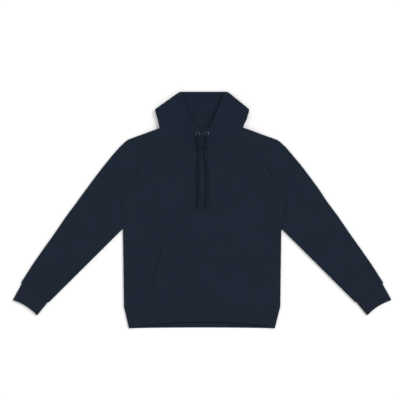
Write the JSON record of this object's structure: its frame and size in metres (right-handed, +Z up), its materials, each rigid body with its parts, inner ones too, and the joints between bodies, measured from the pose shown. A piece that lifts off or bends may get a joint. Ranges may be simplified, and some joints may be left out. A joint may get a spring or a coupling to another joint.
{
  "type": "pullover hoodie",
  "caption": "Pullover hoodie laid flat, front side up, with set-in sleeves, ribbed cuffs and waistband, pouch pocket and a hood whose drawcord ends hang from two eyelets.",
  "frame": {"origin": "middle of the laid garment's box, on the surface that it lies on", "axes": "+X across the chest to the picture's right, +Y from the hem to the hood, +Z up from the surface"},
  "size_m": [1.2862, 0.8028, 0.028],
  "materials": {
    "fleece": "navy cotton fleece with a smooth face",
    "rib": "navy rib knit",
    "cord": "tubular cotton braid lying flat, dark navy",
    "tip": "satin dark tip",
    "eyelet": "polished nickel plate"
  },
  "bodies": {
    "root": {"front": "fleece", "back": "fleece", "sleeve_left": "fleece", "sleeve_right": "fleece", "cuff_left": "rib", "cuff_right": "rib", "waistband": "rib", "hood_left": "fleece", "hood_right": "fleece", "hood_crown": "fleece", "pocket": "fleece", "eyelet_left": "eyelet", "eyelet_right": "eyelet", "drawcord_left": "cord", "drawcord_right": "cord", "tip_left": "tip", "tip_right": "tip"}
  },
  "joints": []
}
